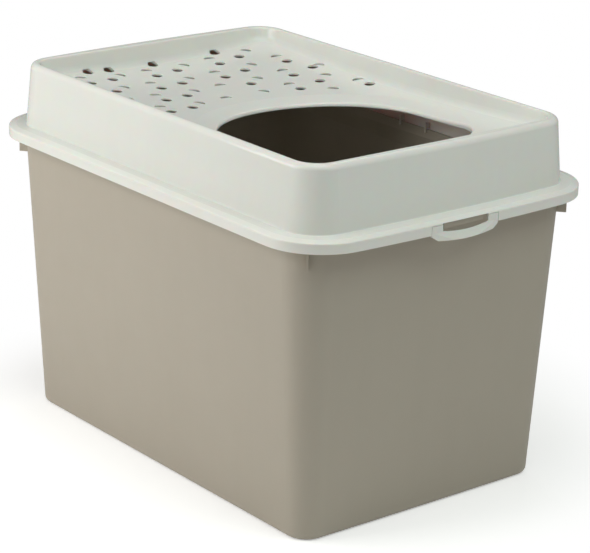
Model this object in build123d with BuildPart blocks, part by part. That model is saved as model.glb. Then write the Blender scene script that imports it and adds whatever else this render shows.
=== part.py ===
from build123d import *
import math
import os

os.makedirs("parts", exist_ok=True)

# All sizes are in millimetres and all angles in degrees. X is across the box, Y is along it
# with the front catch at -Y, and Z is up from the floor that the tub stands on.

# ---- tub: a tapered pan with a ledge and an upstanding spigot round its mouth
tub_foot_width = 320.0
tub_foot_length = 486.0
tub_foot_corner = 24.0
tub_foot_bow = 1.0
tub_mouth_width = 356.4
tub_mouth_length = 515.0
tub_mouth_corner = 36.0
tub_mouth_bow = 2.0
tub_height = 323.6
tub_wall = 2.6
tub_floor = 3.0
tub_foot_round = 6.0
ledge_thickness = 2.5
ledge_to_skirt = 3.3
spigot_height = 7.8
spigot_wall = 2.0
spigot_gap = 2.5
spigot_slope = 18.0
gusset_thickness = 2.6
gusset_reach = 9.2
gusset_height = 29.0
gusset_bearing = 49.0
catch_width = 52.0
catch_drop = 4.1
catch_reach = 2.6
catch_depth = 9.0
catch_edge_round = 1.0

# ---- lid: flange and skirt
seat_gap = 0.3
flange_side_reach = 19.8
flange_end_reach = 22.0
flange_bow = 8.0
flange_corner = 64.0
flange_thickness = 2.5
flange_edge_run = 8.0
flange_edge_fall = 1.8
flange_edge_round = 1.6
skirt_wall = 2.5
skirt_drop = 9.9

# ---- lid: collar
collar_side_inset = 2.2
collar_end_reach = 7.0
collar_bow = 6.0
collar_corner = 39.0
collar_height = 67.6
collar_draft = 5.1
collar_wall = 2.2
collar_foot_round = 1.4
rim_width = 8.8
rim_outer_round = 6.2
rim_inner_round = 2.8

# ---- lid: sunken deck, a shallow bowl with one radius across the box and one along it
recess_bow = 1.0
recess_corner = 24.0
recess_draft = 10.0
deck_drop = 31.0
deck_across_radius = 1350.0
deck_along_radius = 3700.0
deck_low_shift = 5.0
deck_skin = 2.5
deck_cove = 8.0

# ---- lid: cat opening, and the ring round it that falls towards its lip
opening_radius = 118.2
opening_front_margin = 59.7
opening_rear_margin = 203.2
opening_corner = 36.0
ring_width = 27.0
ring_front_shift = 4.0
ring_fall = 6.5
lip_drop = 5.7
lip_round = 3.0
lip_wall = 2.6

# ---- lid: vents in the deck, on a turned grid that starts from the opening's rear point
vent_column_pitch = 76.7
vent_row_pitch = 50.0
vent_row_shift = -2.4
vent_turn = -32.3
near_round_start = (-29.1, 120.4)
far_round_start = (-4.9, 144.3)
near_crescent_start = (-40.4, 141.2)
far_crescent_start = (4.9, 166.3)
vent_wall_margin = 12.0
vent_lip_margin = 45.0
vent_land = 1.5
vent_pocket_radius = 8.0
vent_cut_depth = 5.0
vent_cut_rise = 3.0
round_vent_radius = 6.1
crescent_half_width = 6.5
crescent_outer_rise = 7.6
crescent_inner_rise = 0.9
near_crescent_turn = -18.0
far_crescent_turn = -58.0

# ---- lid: the vents that stand at the foot of the rear wall and of the right wall
foot_vent_places = (-93.0, -65.0, -5.0, 82.0)
foot_vent_margin = 8.5
side_vent_place = 127.0
side_vent_margin = 12.0

# ---- lid: guide fingers inside the long sides
finger_pitch = 42.0
finger_count = 2
finger_centre_shift = -15.5
finger_width = 1.6
finger_thickness = 1.6
finger_root_height = 6.0
finger_root_rise = 1.4
finger_overlap = 3.7
finger_bite = 1.0
finger_clearance = 0.35

# ---- latches: flexing tabs with a window each
latch_seam = 0.5
latch_width = 87.0
latch_shoulder_drop = 1.7
latch_chin_drop = 8.4
latch_chin_half_width = 36.3
latch_chin_sag = 2.1
latch_bulge = 3.6
latch_proud = 0.2
latch_flare_rise = 2.0
latch_wall = 3.0
latch_corner_round = 2.6
window_width = 60.0
window_sill_drop = 7.5
window_sill_sag = 2.4
window_head_rise = 0.3
window_corner_round = 1.5

# ---- worked out from the sizes above
flange_underside = tub_height + seat_gap
flange_top = flange_underside + flange_thickness
skirt_bottom = flange_underside - skirt_drop
lid_height = flange_top + collar_height
spigot_top = tub_height + spigot_height
ledge_bottom = tub_height - ledge_thickness

collar_width = tub_mouth_width - 2 * collar_side_inset
collar_length = tub_mouth_length + 2 * collar_end_reach
flange_width = collar_width + 2 * flange_side_reach
flange_length = collar_length + 2 * flange_end_reach
collar_lean = collar_height * math.tan(math.radians(collar_draft))
spigot_lean = (spigot_top - flange_underside) * math.tan(math.radians(collar_draft))
spigot_inset = collar_wall + spigot_lean + spigot_gap
spigot_inner_inset = spigot_inset + spigot_wall

rim_inset = collar_lean + rim_width
recess_width = collar_width - 2 * rim_inset
recess_length = collar_length - 2 * (rim_inset + collar_bow - recess_bow)
deck_depth = lid_height - flange_top

opening_front = opening_front_margin - recess_length / 2
opening_rear = recess_length / 2 - opening_rear_margin
opening_centre = opening_rear - opening_radius
deck_level = lid_height - deck_drop

# The ring's floor is the deck's bowl bent down further, by ring_fall at the middle of an oval.
ring_centre = opening_centre - ring_front_shift
ring_half_width = opening_radius + ring_width
ring_half_length = opening_rear + ring_width - ring_centre
ring_across_bend = 1 / deck_across_radius + 2 * ring_fall / ring_half_width**2
ring_along_bend = 1 / deck_along_radius + 2 * ring_fall / ring_half_length**2
ring_low_shift = (
    deck_low_shift / deck_along_radius + 2 * ring_fall * ring_centre / ring_half_length**2
) / ring_along_bend
ring_level = (
    deck_level
    + (ring_low_shift - deck_low_shift) ** 2 / (2 * deck_along_radius)
    + ring_fall * (ring_low_shift - ring_centre) ** 2 / ring_half_length**2
    - ring_fall
)

hinge_height = flange_underside - latch_seam
latch_top = hinge_height - latch_seam
window_sill = flange_underside - window_sill_drop
window_head = flange_underside + window_head_rise


def bowed_outline(width, length, bow, corner):
    """A rounded oblong with straight long sides and bowed short ends."""
    half_width = width / 2
    half_length = length / 2
    with BuildSketch() as outline:
        with BuildLine():
            Line((half_width, bow - half_length), (half_width, half_length - bow))
            ThreePointArc(
                (half_width, half_length - bow), (0, half_length), (-half_width, half_length - bow)
            )
            Line((-half_width, half_length - bow), (-half_width, bow - half_length))
            ThreePointArc(
                (-half_width, bow - half_length), (0, -half_length), (half_width, bow - half_length)
            )
        make_face()
        fillet(outline.vertices(), corner)
    return outline.sketch


def collar_outline(inset):
    """The collar's outline at its foot, drawn in by an inset all round."""
    return bowed_outline(
        collar_width - 2 * inset, collar_length - 2 * inset, collar_bow, collar_corner - inset
    )


def flange_outline(inset):
    """The flange's outline, drawn in by an inset all round."""
    return bowed_outline(
        flange_width - 2 * inset, flange_length - 2 * inset, flange_bow, flange_corner - inset
    )


def opening_outline(grow):
    """The cat opening in plan: a half circle behind, and a squared front with round corners."""
    radius = opening_radius + grow
    front = opening_front - grow
    with BuildSketch() as outline:
        with BuildLine():
            Line((-radius, opening_centre), (-radius, front))
            Line((-radius, front), (radius, front))
            Line((radius, front), (radius, opening_centre))
            ThreePointArc(
                (radius, opening_centre), (0, opening_centre + radius), (-radius, opening_centre)
            )
        make_face()
        fillet(outline.vertices().group_by(Axis.Y)[0], opening_corner + grow)
    return outline.sketch


def tub_taper(inset, bottom, corner_inset):
    """The tub's tapered form from a bottom height to its ledge, drawn in by an inset."""
    share = bottom / ledge_bottom
    width = tub_foot_width + share * (tub_mouth_width - tub_foot_width)
    length = tub_foot_length + share * (tub_mouth_length - tub_foot_length)
    corner = tub_foot_corner + share * (tub_mouth_corner - tub_foot_corner)
    bow = tub_foot_bow + share * (tub_mouth_bow - tub_foot_bow)
    with BuildPart() as form:
        with BuildSketch(Plane.XY.offset(bottom)):
            add(bowed_outline(width - 2 * inset, length - 2 * inset, bow, corner - corner_inset))
        with BuildSketch(Plane.XY.offset(ledge_bottom)):
            add(
                bowed_outline(
                    tub_mouth_width - 2 * inset,
                    tub_mouth_length - 2 * inset,
                    tub_mouth_bow,
                    tub_mouth_corner - corner_inset,
                )
            )
        loft(ruled=True)
    return form.part


def deck_height(x, y):
    """The height of the deck's upper face at a plan point."""
    dish = deck_across_radius - math.sqrt(deck_across_radius**2 - x**2)
    swing = math.sqrt((deck_along_radius - dish) ** 2 - (y - deck_low_shift) ** 2)
    return deck_level + deck_along_radius - swing


def bowl_space(across_radius, along_radius, low_shift, level):
    """The space above a bowl, turned about a level axis across the box."""
    half_width = collar_width / 2
    rise = across_radius - math.sqrt(across_radius**2 - half_width**2)
    floor_edge = rise - along_radius
    swing = math.asin(collar_length / along_radius)
    middle = (0, low_shift, level + along_radius)
    start_plane = Plane(origin=middle, x_dir=(1, 0, 0), z_dir=(0, -math.cos(swing), math.sin(swing)))
    with BuildPart() as space:
        with BuildSketch(start_plane):
            with BuildLine():
                ThreePointArc((-half_width, floor_edge), (0, -along_radius), (half_width, floor_edge))
                Polyline(
                    (half_width, floor_edge),
                    (half_width, floor_edge + lid_height),
                    (-half_width, floor_edge + lid_height),
                    (-half_width, floor_edge),
                )
            make_face()
        revolve(axis=Axis(middle, (1, 0, 0)), revolution_arc=2 * math.degrees(swing))
    return space.part


def deck_bowl(skin):
    """The space above the deck's bowl, grown by a skin."""
    return bowl_space(
        deck_across_radius + skin, deck_along_radius + skin, deck_low_shift, deck_level - skin
    )


def ring_bowl(skin):
    """The space above the ring's bowl, grown by a skin."""
    return bowl_space(
        1 / ring_across_bend + skin, 1 / ring_along_bend + skin, ring_low_shift, ring_level - skin
    )


def recess_space(skin):
    """The space above the deck and its ring, grown by a skin at its walls and floor."""
    with BuildPart() as bowls:
        add(deck_bowl(skin))
        add(ring_bowl(skin))
    with BuildPart() as space:
        with BuildSketch(Plane.XY.offset(lid_height)):
            add(
                bowed_outline(
                    recess_width + 2 * skin, recess_length + 2 * skin, recess_bow, recess_corner + skin
                )
            )
        extrude(amount=-deck_depth, taper=recess_draft)
        add(bowls.part, mode=Mode.INTERSECT)
        floor = space.faces().filter_by(lambda face: face.inner_wires()).sort_by(SortBy.AREA)[-1]
        fillet(floor.outer_wire().edges(), deck_cove + skin)
    return space.part


def lip_room(point):
    """How far a plan point on the deck lies behind the opening's edge."""
    return math.hypot(point[0], point[1] - opening_centre) - opening_radius


def vent_points(start, columns):
    """Plan points of one vent family whose grid cells lie clear of the walls and the lip."""
    turn = math.radians(vent_turn)
    points = []
    for column, (first_row, last_row) in columns.items():
        for row in range(first_row, last_row + 1):
            along = start[0] + column * vent_column_pitch + row * vent_row_shift
            across = start[1] + row * vent_row_pitch
            x = along * math.cos(turn) - across * math.sin(turn)
            y = along * math.sin(turn) + across * math.cos(turn) + opening_rear
            wall_room = min(recess_width / 2 - abs(x), recess_length / 2 - y)
            if wall_room > vent_wall_margin and lip_room((x, y)) > vent_lip_margin:
                points.append((x, y))
    return points


def vent_planes(points, turn, drop):
    """Level planes at the vent points, each a drop below the deck's upper face."""
    facing = (math.cos(math.radians(turn)), math.sin(math.radians(turn)), 0)
    return [Plane((x, y, deck_height(x, y) - drop), x_dir=facing, z_dir=(0, 0, 1)) for x, y in points]


# The four vent families: each has a range of rows in each column of the grid.
near_rounds = vent_points(
    near_round_start, {-2: (-1, -1), -1: (-3, 0), 0: (0, 1), 1: (-1, 1), 2: (-1, -1)}
)
far_rounds = vent_points(far_round_start, {-2: (-2, -1), -1: (-3, 0), 0: (-1, 1), 1: (-1, 0)})
near_crescents = vent_points(
    near_crescent_start, {-2: (-1, -1), -1: (-3, 0), 0: (-2, 1), 1: (-1, 1), 2: (-1, -1)}
)
far_crescents = vent_points(far_crescent_start, {-2: (-3, -1), -1: (-3, 0), 0: (-2, 1), 1: (-2, -1)})
foot_rounds = [(place, recess_length / 2 - foot_vent_margin) for place in foot_vent_places]
side_crescents = [(recess_width / 2 - side_vent_margin, side_vent_place)]


# ---- tub
with BuildPart() as mouth_funnel:
    with BuildSketch(Plane.XY.offset(ledge_bottom)):
        add(collar_outline(spigot_inner_inset))
    extrude(amount=spigot_top)
    extrude(mouth_funnel.faces().sort_by(Axis.Z)[0], amount=ledge_bottom, taper=-spigot_slope)

with BuildPart() as tub_cavity:
    add(tub_taper(tub_wall, tub_floor, tub_wall))
    extrude(tub_cavity.faces().sort_by(Axis.Z)[-1], amount=spigot_top)
    add(mouth_funnel.part, mode=Mode.INTERSECT)

ledge_inset = skirt_wall + ledge_to_skirt
ledge_end = flange_length / 2 - ledge_inset
gusset_centre_x = tub_mouth_width / 2 - tub_mouth_corner
gusset_centre_y = tub_mouth_length / 2 - tub_mouth_bow - tub_mouth_corner
gusset_run = tub_mouth_corner + gusset_reach
catch_bottom = ledge_bottom - catch_drop
catch_face = ledge_end + catch_reach

with BuildPart() as catches:
    with BuildSketch(Plane.XY.offset(catch_bottom)):
        with Locations((0, catch_face - catch_depth / 2), (0, catch_depth / 2 - catch_face)):
            Rectangle(catch_width, catch_depth)
    extrude(amount=tub_height - catch_bottom)
    fillet(catches.faces().sort_by(Axis.Y)[0].edges(), catch_edge_round)
    fillet(catches.faces().sort_by(Axis.Y)[-1].edges(), catch_edge_round)

with BuildPart() as tub:
    add(tub_taper(0, 0, 0))
    fillet(tub.faces().sort_by(Axis.Z)[0].edges(), tub_foot_round)
    with BuildSketch(Plane.XY.offset(ledge_bottom)):
        add(flange_outline(ledge_inset))
    extrude(amount=ledge_thickness)
    with BuildSketch(Plane.XY.offset(tub_height)):
        add(collar_outline(spigot_inset))
    extrude(amount=spigot_height)
    with BuildSketch(Plane.XY.offset(ledge_bottom)):
        for side in (-1, 1):
            for end in (-1, 1):
                turn = math.radians(gusset_bearing)
                bearing = math.degrees(math.atan2(end * math.sin(turn), side * math.cos(turn)))
                with Locations(Location((side * gusset_centre_x, end * gusset_centre_y), bearing)):
                    Rectangle(gusset_run, gusset_thickness, align=(Align.MIN, Align.CENTER))
    extrude(amount=-gusset_height)
    add(catches.part)
    add(tub_cavity.part, mode=Mode.SUBTRACT)
tub.part.label = "tub"
export_step(tub.part, "parts/tub.step")


# ---- lid
with BuildPart() as upper_void:
    add(recess_space(0))
    with BuildSketch(Plane.XY.offset(skirt_bottom)):
        add(opening_outline(0))
    extrude(amount=lid_height - skirt_bottom)
    ring_floor = upper_void.faces().filter_by(lambda face: face.inner_wires()).sort_by(SortBy.AREA)[0]
    fillet(ring_floor.inner_wires()[0].edges(), lip_round)

with BuildPart() as throat_block:
    with BuildSketch(Plane.XY.offset(skirt_bottom)):
        add(opening_outline(lip_wall))
    extrude(amount=lid_height - skirt_bottom)
    add(deck_bowl(lip_drop), mode=Mode.INTERSECT)

with BuildPart() as underside:
    with BuildSketch(Plane.XY.offset(flange_underside)):
        add(collar_outline(collar_wall))
    extrude(amount=lid_height - deck_skin - flange_underside, taper=collar_draft)
    fillet(underside.faces().sort_by(Axis.Z)[-1].edges(), rim_outer_round - collar_wall)
    with BuildSketch(Plane.XY.offset(skirt_bottom)):
        add(flange_outline(skirt_wall))
    extrude(amount=skirt_drop)
    add(recess_space(deck_skin), mode=Mode.SUBTRACT)
    add(throat_block.part, mode=Mode.SUBTRACT)

vent_cut = vent_cut_depth + vent_cut_rise
with BuildPart() as vents:
    with BuildSketch(*vent_planes(near_rounds + far_rounds + foot_rounds, 0, vent_cut_depth)):
        Circle(round_vent_radius)
    extrude(amount=vent_cut)
    for points, turn in (
        (near_crescents, near_crescent_turn),
        (far_crescents + side_crescents, far_crescent_turn),
    ):
        with BuildSketch(*vent_planes(points, turn, vent_cut_depth)):
            with BuildLine():
                middle = (crescent_outer_rise + crescent_inner_rise) / 2
                ThreePointArc(
                    (-crescent_half_width, -middle),
                    (0, crescent_outer_rise - middle),
                    (crescent_half_width, -middle),
                )
                ThreePointArc(
                    (crescent_half_width, -middle),
                    (0, crescent_inner_rise - middle),
                    (-crescent_half_width, -middle),
                )
            make_face()
        extrude(amount=vent_cut)
    grid_points = near_rounds + far_rounds + near_crescents + far_crescents
    with BuildSketch(*vent_planes(grid_points, 0, vent_land)):
        Circle(vent_pocket_radius)
    extrude(amount=-vent_cut_depth)

finger_outer = collar_width / 2 - spigot_inner_inset - finger_clearance
finger_inner = finger_outer - finger_thickness
finger_tip = spigot_top - finger_overlap
finger_root = spigot_top + finger_root_rise
finger_wall = collar_width / 2 - collar_wall - spigot_lean + finger_bite
finger_places = [
    finger_centre_shift + (number - (finger_count - 1) / 2) * finger_pitch
    for number in range(finger_count)
]
flange_end_radius = ((flange_width / 2) ** 2 + flange_bow**2) / (2 * flange_bow)
latch_half_width = latch_width / 2
latch_side = (
    flange_length / 2 - flange_end_radius + math.sqrt(flange_end_radius**2 - latch_half_width**2)
)
notch_depth = flange_length / 2 + latch_bulge - latch_side + latch_wall + latch_seam
notch_middle = latch_side - latch_wall - latch_seam + notch_depth / 2
notch_places = ((0, notch_middle), (0, -notch_middle))

with BuildPart() as lid:
    with BuildSketch(Plane.XY.offset(skirt_bottom)):
        add(flange_outline(0))
    extrude(amount=flange_top - skirt_bottom)
    flange_face = lid.faces().sort_by(Axis.Z)[-1]
    chamfer(flange_face.edges(), flange_edge_run, flange_edge_fall, reference=flange_face)
    fillet(lid.edges().group_by(Axis.Z)[-3], flange_edge_round)
    with BuildSketch(Plane.XY.offset(flange_top)):
        add(collar_outline(0))
    extrude(amount=collar_height, taper=collar_draft)
    fillet(lid.faces().sort_by(Axis.Z)[-1].edges(), rim_outer_round)
    flange_face = lid.faces().filter_by(Axis.Z).sort_by(Axis.Z)[1]
    fillet(flange_face.inner_wires()[0].edges(), collar_foot_round)
    add(underside.part, mode=Mode.SUBTRACT)
    add(upper_void.part, mode=Mode.SUBTRACT)
    rim_face = lid.faces().sort_by(Axis.Z)[-1]
    fillet(rim_face.inner_wires()[0].edges(), rim_inner_round)
    add(vents.part, mode=Mode.SUBTRACT)
    with BuildSketch(*[Plane.XZ.offset(-place) for place in finger_places]):
        with BuildLine():
            Polyline(
                (finger_inner, finger_tip),
                (finger_outer, finger_tip),
                (finger_outer, finger_root),
                (finger_wall, finger_root),
                (finger_wall, finger_root + finger_root_height),
                (finger_inner, finger_root + finger_root_height),
                close=True,
            )
        make_face()
        mirror(about=Plane.YZ)
    extrude(amount=finger_width / 2, both=True)
    with BuildSketch(Plane.XY.offset(skirt_bottom)):
        with Locations(*notch_places):
            Rectangle(latch_width + 2 * latch_seam, notch_depth)
    extrude(amount=hinge_height - skirt_bottom, mode=Mode.SUBTRACT)
    with BuildSketch(Plane.XY.offset(skirt_bottom)):
        with Locations(*notch_places):
            Rectangle(window_width, notch_depth)
    extrude(amount=window_head - skirt_bottom, mode=Mode.SUBTRACT)
lid.part.label = "lid"
export_step(lid.part, "parts/lid.step")


# ---- latches
window_half_width = window_width / 2
latch_shoulder = skirt_bottom - latch_shoulder_drop
latch_bottom = skirt_bottom - latch_chin_drop
latch_chin = latch_bottom + latch_chin_sag
latch_crest = flange_length / 2 + latch_bulge
latch_flush = flange_length / 2 + latch_proud
latch_flare_top = skirt_bottom + latch_flare_rise

with BuildPart() as front_latch:
    with BuildSketch(Plane.XY.offset(latch_bottom)):
        with BuildLine():
            ThreePointArc(
                (-latch_half_width, -latch_side), (0, -latch_crest), (latch_half_width, -latch_side)
            )
            Line((latch_half_width, -latch_side), (latch_half_width, latch_wall - latch_side))
            ThreePointArc(
                (latch_half_width, latch_wall - latch_side),
                (0, latch_wall - latch_crest),
                (-latch_half_width, latch_wall - latch_side),
            )
            Line((-latch_half_width, latch_wall - latch_side), (-latch_half_width, -latch_side))
        make_face()
    extrude(amount=latch_top - latch_bottom)
    with BuildSketch(Plane.XZ) as face_shape:
        with BuildLine():
            Polyline(
                (-latch_chin_half_width, latch_chin),
                (-latch_half_width, latch_shoulder),
                (-latch_half_width, latch_top),
                (latch_half_width, latch_top),
                (latch_half_width, latch_shoulder),
                (latch_chin_half_width, latch_chin),
            )
            ThreePointArc(
                (latch_chin_half_width, latch_chin), (0, latch_bottom), (-latch_chin_half_width, latch_chin)
            )
        make_face()
        fillet(face_shape.vertices().group_by(Axis.Y)[0], latch_corner_round)
        fillet(face_shape.vertices().group_by(Axis.Y)[-2], latch_corner_round)
        with BuildSketch(Plane.XZ, mode=Mode.SUBTRACT) as window_shape:
            with BuildLine():
                ThreePointArc(
                    (-window_half_width, window_sill),
                    (0, window_sill - window_sill_sag),
                    (window_half_width, window_sill),
                )
                Polyline(
                    (window_half_width, window_sill),
                    (window_half_width, flange_top),
                    (-window_half_width, flange_top),
                    (-window_half_width, window_sill),
                )
            make_face()
            fillet(window_shape.vertices().group_by(Axis.Y)[0], window_corner_round)
    extrude(amount=flange_length, mode=Mode.INTERSECT)
    with BuildSketch(Plane.YZ):
        with BuildLine():
            Polyline(
                (0, latch_bottom),
                (-latch_crest, latch_bottom),
                (-latch_flush, latch_flare_top),
                (-latch_flush, latch_top),
                (0, latch_top),
                close=True,
            )
        make_face()
    extrude(amount=latch_width, both=True, mode=Mode.INTERSECT)
front_latch.part.label = "front_latch"
export_step(front_latch.part, "parts/front_latch.step")

with BuildPart() as rear_latch:
    mirror(front_latch.part, about=Plane.XZ)
rear_latch.part.label = "rear_latch"
export_step(rear_latch.part, "parts/rear_latch.step")
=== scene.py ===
"""Finishes, light and camera for the top entry litter box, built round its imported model."""
import logging
import math
from dataclasses import dataclass, field
from enum import Enum

import bpy
from mathutils import Matrix, Vector

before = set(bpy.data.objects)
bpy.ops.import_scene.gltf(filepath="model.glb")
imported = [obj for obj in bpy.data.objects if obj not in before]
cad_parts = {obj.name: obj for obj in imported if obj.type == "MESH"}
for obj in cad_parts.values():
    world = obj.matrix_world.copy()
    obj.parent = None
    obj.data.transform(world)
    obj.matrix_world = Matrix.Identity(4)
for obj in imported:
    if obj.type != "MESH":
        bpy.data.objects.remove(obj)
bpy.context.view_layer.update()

MM = 0.001
PLAIN_WHITE = 1.0
REPORT = logging.getLogger("litter_box")


class End(Enum):
    """The two short ends of the box, each named for its tab's node."""

    FRONT = "front_latch"
    REAR = "rear_latch"


class Slot(Enum):
    """The record's material slots."""

    TUB = "tub_plastic"
    LID = "lid_plastic"


# ---- small helpers


def linear_colour(hex_value: str) -> tuple[float, float, float, float]:
    """Turns an sRGB hex colour into linear values.

    Args:
        hex_value: Six hex digits, such as "B5AB9B".

    Returns:
        Red, green, blue and a full alpha.
    """
    channels = []
    for start in (0, 2, 4):
        value = int(hex_value[start : start + 2], 16) / 255
        channels.append(value / 12.92 if value <= 0.04045 else ((value + 0.055) / 1.055) ** 2.4)
    return (*channels, 1.0)


def direction(azimuth: float, elevation: float) -> Vector:
    """Finds the way from the box towards a lamp or the camera.

    Args:
        azimuth: Bearing in degrees, 0 in front and turning towards the box's right.
        elevation: Height angle in degrees.

    Returns:
        The direction, of length 1.
    """
    turn = math.radians(azimuth)
    rise = math.radians(elevation)
    level = math.cos(rise)
    return Vector((math.sin(turn) * level, -math.cos(turn) * level, math.sin(rise)))


def add_object(name: str, data: bpy.types.ID) -> bpy.types.Object:
    """Adds an object to the scene.

    Args:
        name: The object's name.
        data: Its mesh, lamp or camera.

    Returns:
        The new object.
    """
    thing = bpy.data.objects.new(name, data)
    bpy.context.scene.collection.objects.link(thing)
    return thing


def add_node(
    tree: bpy.types.NodeTree, kind: str, settings: dict | None = None, inputs: dict | None = None
) -> bpy.types.Node:
    """Adds one node with its settings and links.

    Args:
        tree: The node tree that gets the node.
        kind: The node's type, such as "ShaderNodeMath".
        settings: Values for the node's own attributes.
        inputs: For each input, by name or number, a value or the output socket that feeds it.

    Returns:
        The new node.
    """
    node = tree.nodes.new(kind)
    for name, value in (settings or {}).items():
        setattr(node, name, value)
    for name, value in (inputs or {}).items():
        if isinstance(value, bpy.types.NodeSocket):
            tree.links.new(value, node.inputs[name])
        else:
            node.inputs[name].default_value = value
    return node


def empty_tree(holder: bpy.types.Material | bpy.types.World) -> bpy.types.NodeTree:
    """Switches nodes on for a material or a world and clears them.

    Args:
        holder: The material or the world.

    Returns:
        Its node tree, empty.
    """
    holder.use_nodes = True
    holder.node_tree.nodes.clear()
    return holder.node_tree


def paint(node: bpy.types.Object, material: bpy.types.Material) -> None:
    """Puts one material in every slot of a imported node.

    Args:
        node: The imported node's object.
        material: The material that it gets.
    """
    for slot in node.material_slots:
        slot.material = material


# ---- finishes


@dataclass(frozen=True)
class MouldedPolypropylene:
    """Injection moulded polypropylene: one even colour, a soft gloss, faint flow clouds and grain.

    Args:
        name: The material's name.
        colour: Main sRGB colour.
        cloud_colour: sRGB colour that the flow clouds drift towards.
        rub_colour: sRGB colour of rubbed places.
        roughness: Middle value of the surface's roughness.
        roughness_spread: How far the roughness wanders to either side.
        grain_mm: Size of the surface grain as it is drawn.
        grain_depth_mm: Depth of that grain.
        cloud_mm: Size of the flow clouds.
        ripple_mm: Length of the shallow waves that shrinkage leaves.
        ripple_depth_mm: Depth of those waves.
        glow_mm: How far light travels inside the plastic.
        glow: Share of the light that comes back from inside.
        rub_height_mm: Height above the floor up to which the surface is rubbed.
    """

    name: str
    colour: str
    cloud_colour: str
    rub_colour: str
    roughness: float
    roughness_spread: float
    grain_mm: float
    grain_depth_mm: float
    cloud_mm: float
    ripple_mm: float
    ripple_depth_mm: float
    glow_mm: float
    glow: float
    rub_height_mm: float

    REFRACTIVE_INDEX = 1.49
    NOISE_DETAIL = 3.0
    NOISE_ROUGHNESS = 0.55
    # Nearly all of a noise's values lie between these two.
    NOISE_LOW = 0.3
    NOISE_HIGH = 0.7
    # Streaks run up and down the walls, along the way that a moulding leaves its tool.
    STREAK_SQUEEZE = (1.0, 1.0, 0.05)
    STREAKS_PER_CLOUD = 4
    SHEEN_PATCHES_PER_CLOUD = 2
    GRAINS_PER_SPECK = 3

    def noise(
        self, tree: bpy.types.NodeTree, place: bpy.types.NodeSocket, size_mm: float
    ) -> bpy.types.NodeSocket:
        """Adds a noise whose blobs have a real size.

        Args:
            tree: The material's node tree.
            place: The coordinates in metres.
            size_mm: The size of one blob in millimetres.

        Returns:
            The noise's value.
        """
        blobs = add_node(
            tree,
            "ShaderNodeTexNoise",
            {},
            {
                "Vector": place,
                "Scale": 1 / (size_mm * MM),
                "Detail": self.NOISE_DETAIL,
                "Roughness": self.NOISE_ROUGHNESS,
            },
        )
        return blobs.outputs["Fac"]

    def colours(
        self, tree: bpy.types.NodeTree, place: bpy.types.NodeSocket
    ) -> bpy.types.NodeSocket:
        """Mixes the flow clouds, the draw streaks and the rubbed foot into the colour.

        Args:
            tree: The material's node tree.
            place: The coordinates in metres.

        Returns:
            The colour.
        """
        clouds = self.noise(tree, place, self.cloud_mm)
        stretched = add_node(
            tree,
            "ShaderNodeVectorMath",
            {"operation": "MULTIPLY"},
            {0: place, 1: self.STREAK_SQUEEZE},
        )
        streaks = self.noise(tree, stretched.outputs[0], self.cloud_mm / self.STREAKS_PER_CLOUD)
        drift = add_node(
            tree, "ShaderNodeMath", {"operation": "MULTIPLY"}, {0: clouds, 1: streaks}
        )
        cloudy = add_node(
            tree,
            "ShaderNodeMix",
            {"data_type": "RGBA"},
            {
                "Factor": drift.outputs[0],
                "A": linear_colour(self.colour),
                "B": linear_colour(self.cloud_colour),
            },
        )
        height = add_node(tree, "ShaderNodeSeparateXYZ", {}, {0: place})
        low = add_node(
            tree,
            "ShaderNodeMapRange",
            {},
            {
                "Value": height.outputs["Z"],
                "From Max": self.rub_height_mm * MM,
                "To Min": 1.0,
                "To Max": 0.0,
            },
        )
        specks = self.noise(tree, place, self.grain_mm * self.GRAINS_PER_SPECK)
        rub = add_node(
            tree, "ShaderNodeMath", {"operation": "MULTIPLY"}, {0: low.outputs[0], 1: specks}
        )
        rubbed = add_node(
            tree,
            "ShaderNodeMix",
            {"data_type": "RGBA"},
            {
                "Factor": rub.outputs[0],
                "A": cloudy.outputs["Result"],
                "B": linear_colour(self.rub_colour),
            },
        )
        return rubbed.outputs["Result"]

    def build(self) -> bpy.types.Material:
        """Builds the material.

        Returns:
            The finished material.
        """
        material = bpy.data.materials.new(self.name)
        tree = empty_tree(material)
        place = add_node(tree, "ShaderNodeTexCoord").outputs["Object"]
        sheen_patches = self.noise(tree, place, self.cloud_mm / self.SHEEN_PATCHES_PER_CLOUD)
        roughness = add_node(
            tree,
            "ShaderNodeMapRange",
            {},
            {
                "Value": sheen_patches,
                "From Min": self.NOISE_LOW,
                "From Max": self.NOISE_HIGH,
                "To Min": self.roughness - self.roughness_spread,
                "To Max": self.roughness + self.roughness_spread,
            },
        )
        ripple = add_node(
            tree,
            "ShaderNodeBump",
            {},
            {
                "Height": self.noise(tree, place, self.ripple_mm),
                "Distance": self.ripple_depth_mm * MM,
            },
        )
        grain = add_node(
            tree,
            "ShaderNodeBump",
            {},
            {
                "Height": self.noise(tree, place, self.grain_mm),
                "Distance": self.grain_depth_mm * MM,
                "Normal": ripple.outputs["Normal"],
            },
        )
        plastic = add_node(
            tree,
            "ShaderNodeBsdfPrincipled",
            {"subsurface_method": "RANDOM_WALK"},
            {
                "Base Color": self.colours(tree, place),
                "Roughness": roughness.outputs[0],
                "IOR": self.REFRACTIVE_INDEX,
                "Subsurface Weight": self.glow,
                "Subsurface Scale": self.glow_mm * MM,
                "Normal": grain.outputs["Normal"],
            },
        )
        add_node(tree, "ShaderNodeOutputMaterial", {}, {"Surface": plastic.outputs["BSDF"]})
        return material


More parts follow.
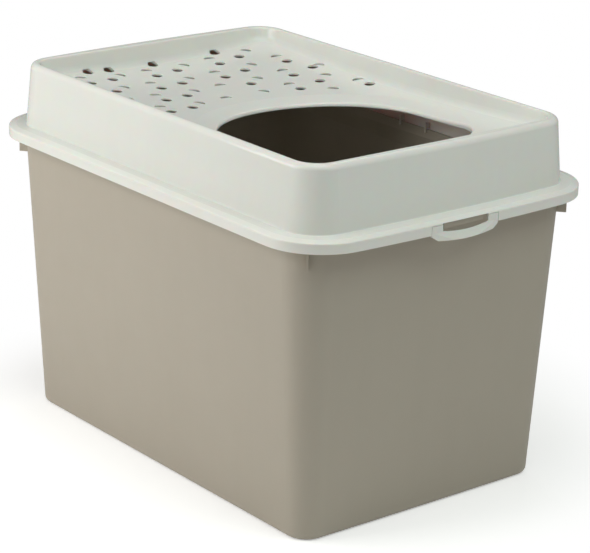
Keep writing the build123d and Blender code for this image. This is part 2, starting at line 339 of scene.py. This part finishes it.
# Polypropylene moulded in a sanded tool: a warm taupe with a soft, matt sheen that never mirrors.
# The tool's grit leaves a grain of about 0.1 mm. That is too fine to show, so it is drawn at
# 2.2 mm, or about two pixels.
TUB_PLASTIC = MouldedPolypropylene(
    name="moulded polypropylene, sanded taupe",
    colour="B4AB9B",
    cloud_colour="AFA696",
    rub_colour="BEB6A8",
    roughness=0.46,
    roughness_spread=0.04,
    grain_mm=2.2,
    grain_depth_mm=0.02,
    cloud_mm=70.0,
    ripple_mm=90.0,
    ripple_depth_mm=0.25,
    glow_mm=1.5,
    glow=0.04,
    rub_height_mm=9.0,
)

# Polypropylene moulded in a polished tool: a milky off-white whose curved edges carry clear
# highlights. The tool's polish leaves next to no grain, so the little that is drawn, at 3 mm,
# only breaks up the highlights.
LID_PLASTIC = MouldedPolypropylene(
    name="moulded polypropylene, polished off-white",
    colour="E8E7DF",
    cloud_colour="E3E2D9",
    rub_colour="EEEDE8",
    roughness=0.17,
    roughness_spread=0.03,
    grain_mm=3.0,
    grain_depth_mm=0.006,
    cloud_mm=60.0,
    ripple_mm=70.0,
    ripple_depth_mm=0.12,
    glow_mm=5.0,
    glow=0.35,
    rub_height_mm=1.0,
)


# ---- the box's sub-assemblies


@dataclass
class Moulding:
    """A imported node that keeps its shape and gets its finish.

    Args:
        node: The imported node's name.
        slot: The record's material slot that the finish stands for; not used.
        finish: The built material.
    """

    node: str
    slot: Slot
    finish: bpy.types.Material

    def dress(self) -> None:
        """Paints the node and reports its finish."""
        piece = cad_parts[self.node]
        paint(piece, self.finish)
        REPORT.info("%s: %s", self.node, self.finish.name)


# ---- the studio


@dataclass(frozen=True)
class SoftBox:
    """A flat lamp that faces the box.

    Args:
        name: The lamp's name.
        azimuth: Bearing in degrees from the box, 0 in front and turning towards its right.
        elevation: Height angle in degrees.
        distance: Metres from the box.
        width: Metres across.
        height: Metres tall.
        level: The light that it gives a face turned to it, where 1 shows a colour as written.
        tint: sRGB colour of its light.
    """

    name: str
    azimuth: float
    elevation: float
    distance: float
    width: float
    height: float
    level: float
    tint: str = "FFFFFF"

    def build(self, target: Vector) -> None:
        """Hangs the lamp and turns it to a point.

        Args:
            target: The point that it faces.
        """
        outwards = direction(self.azimuth, self.elevation)
        light = bpy.data.lights.new(self.name, "AREA")
        light.shape = "RECTANGLE"
        light.size = self.width
        light.size_y = self.height
        # The power with which a flat lamp lights a face at this distance to the level.
        light.energy = self.level * (math.pi * self.distance) ** 2
        light.color = linear_colour(self.tint)[:3]
        lamp = add_object(self.name, light)
        lamp.location = target + outwards * self.distance
        lamp.rotation_euler = outwards.to_track_quat("Z", "Y").to_euler()


@dataclass
class Studio:
    """A white table under soft boxes, with the box's shadow kept on it.

    Args:
        target: The point that the lamps face, in metres.
        floor_radius: Metres from the table's middle to its edge.
        floor_corners: Corners of the table's round outline.
        floor_gap_mm: Gap between the table and the box's foot.
        floor_colour: The table's sRGB colour.
        fade_start: Metres from the table's middle where it starts to fade to plain white.
        fade_end: Metres from its middle where it is plain white.
        lift: How much brighter than its own shade the camera sees the table near the box.
        sky: Strength of the light that the room gives from all sides.
        lamps: The soft boxes.
    """

    target: Vector = field(default_factory=lambda: Vector((0.0, 0.0, 0.2)))
    floor_radius: float = 6.0
    floor_corners: int = 64
    floor_gap_mm: float = 0.2
    floor_colour: str = "F4F4F2"
    fade_start: float = 0.3
    fade_end: float = 0.46
    lift: float = 0.38
    sky: float = 0.3
    lamps: tuple[SoftBox, ...] = (
        SoftBox(
            name="key soft box",
            azimuth=-112.0,
            elevation=23.0,
            distance=1.3,
            width=0.9,
            height=0.9,
            level=0.52,
        ),
        SoftBox(
            name="overhead soft box",
            azimuth=-10.0,
            elevation=78.0,
            distance=1.8,
            width=1.0,
            height=1.0,
            level=0.27,
        ),
        SoftBox(
            name="fill soft box",
            azimuth=8.0,
            elevation=48.0,
            distance=1.9,
            width=1.2,
            height=0.8,
            level=0.27,
            tint="E6F2F0",
        ),
        SoftBox(
            name="rear strip light",
            azimuth=125.0,
            elevation=43.0,
            distance=1.6,
            width=0.3,
            height=0.12,
            level=0.02,
        ),
        SoftBox(
            name="rear spot light",
            azimuth=142.0,
            elevation=53.0,
            distance=1.6,
            width=0.2,
            height=0.16,
            level=0.02,
        ),
    )

    def build_floor(self) -> None:
        """Lays the table, which fades to plain white away from the box's shadow."""
        mesh = bpy.data.meshes.new("floor")
        outline = []
        for corner in range(self.floor_corners):
            turn = 2 * math.pi * corner / self.floor_corners
            across = self.floor_radius * math.cos(turn)
            along = self.floor_radius * math.sin(turn)
            outline.append((across, along, -self.floor_gap_mm * MM))
        mesh.from_pydata(outline, [], [list(range(self.floor_corners))])
        mesh.materials.append(self.floor_finish())
        floor = add_object("floor", mesh)

    def floor_finish(self) -> bpy.types.Material:
        """Builds the table's material.

        Returns:
            White laminate, which the camera alone sees lifted near the box and plain white
            further out.
        """
        material = bpy.data.materials.new("white laminate table")
        tree = empty_tree(material)
        place = add_node(tree, "ShaderNodeTexCoord").outputs["Object"]
        reach = add_node(tree, "ShaderNodeVectorMath", {"operation": "LENGTH"}, {0: place})
        fade = add_node(
            tree,
            "ShaderNodeMapRange",
            {"interpolation_type": "SMOOTHSTEP"},
            {
                "Value": reach.outputs["Value"],
                "From Min": self.fade_start,
                "From Max": self.fade_end,
            },
        )
        matt = add_node(
            tree, "ShaderNodeBsdfDiffuse", {}, {"Color": linear_colour(self.floor_colour)}
        )
        glow = add_node(tree, "ShaderNodeEmission", {}, {"Strength": self.lift})
        lifted = add_node(
            tree, "ShaderNodeAddShader", {}, {0: matt.outputs[0], 1: glow.outputs[0]}
        )
        white = add_node(tree, "ShaderNodeEmission", {}, {"Strength": PLAIN_WHITE})
        seen = add_node(
            tree,
            "ShaderNodeMixShader",
            {},
            {0: fade.outputs[0], 1: lifted.outputs[0], 2: white.outputs[0]},
        )
        rays = add_node(tree, "ShaderNodeLightPath")
        surface = add_node(
            tree,
            "ShaderNodeMixShader",
            {},
            {0: rays.outputs["Is Camera Ray"], 1: matt.outputs[0], 2: seen.outputs[0]},
        )
        add_node(tree, "ShaderNodeOutputMaterial", {}, {"Surface": surface.outputs[0]})
        return material

    def build_sky(self) -> None:
        """Makes the room: pale grey where the camera looks past the table, dim elsewhere."""
        world = bpy.data.worlds.new("studio room")
        tree = empty_tree(world)
        rays = add_node(tree, "ShaderNodeLightPath")
        dim = add_node(tree, "ShaderNodeBackground", {}, {"Strength": self.sky})
        bright = add_node(tree, "ShaderNodeBackground", {}, {"Strength": PLAIN_WHITE})
        room = add_node(
            tree,
            "ShaderNodeMixShader",
            {},
            {0: rays.outputs["Is Camera Ray"], 1: dim.outputs[0], 2: bright.outputs[0]},
        )
        add_node(tree, "ShaderNodeOutputWorld", {}, {"Surface": room.outputs[0]})
        bpy.context.scene.world = world

    def build(self) -> None:
        """Builds the floor, the room and the lamps."""
        self.build_floor()
        self.build_sky()
        for lamp in self.lamps:
            lamp.build(self.target)
            REPORT.info("%s hung", lamp.name)


@dataclass
class Viewpoint:
    """The photograph's camera.

    Args:
        eye: The camera's place in metres.
        azimuth: Its bearing from the box in degrees.
        elevation: How far it looks down, in degrees.
        roll: Its lean in degrees.
        focal_length: Millimetres.
        sensor_width: Millimetres.
        reach: Metres up to which it sees.
    """

    eye: Vector = field(default_factory=lambda: Vector((-1.5169, -1.9002, 1.0160)))
    azimuth: float = -38.94
    elevation: float = 18.90
    roll: float = 1.45
    focal_length: float = 144.57
    sensor_width: float = 36.0
    reach: float = 50.0

    def build(self) -> None:
        """Sets the camera up and makes it the scene's own."""
        backwards = direction(self.azimuth, self.elevation)
        rightwards = Vector((0.0, 0.0, 1.0)).cross(backwards).normalized()
        upwards = backwards.cross(rightwards)
        turn = Matrix((rightwards, upwards, backwards)).transposed().to_4x4()
        lean = Matrix.Rotation(math.radians(self.roll), 4, "Z")
        lens = bpy.data.cameras.new("camera")
        lens.sensor_width = self.sensor_width
        lens.lens = self.focal_length
        lens.clip_end = self.reach
        camera = add_object("camera", lens)
        camera.matrix_world = Matrix.Translation(self.eye) @ turn @ lean
        bpy.context.scene.camera = camera


def main() -> None:
    """Builds the camera, the studio and the box's finishes in order."""
    logging.basicConfig(level=logging.INFO, format="%(message)s")
    bpy.context.scene.view_settings.view_transform = "Standard"
    Viewpoint().build()
    Studio().build()
    tub_plastic = TUB_PLASTIC.build()
    lid_plastic = LID_PLASTIC.build()
    mouldings = [
        Moulding("tub", Slot.TUB, tub_plastic),
        Moulding("lid", Slot.LID, lid_plastic),
        Moulding(End.FRONT.value, Slot.LID, lid_plastic),
        Moulding(End.REAR.value, Slot.LID, lid_plastic),
    ]
    for moulding in mouldings:
        moulding.dress()


if __name__ == "__main__":
    main()
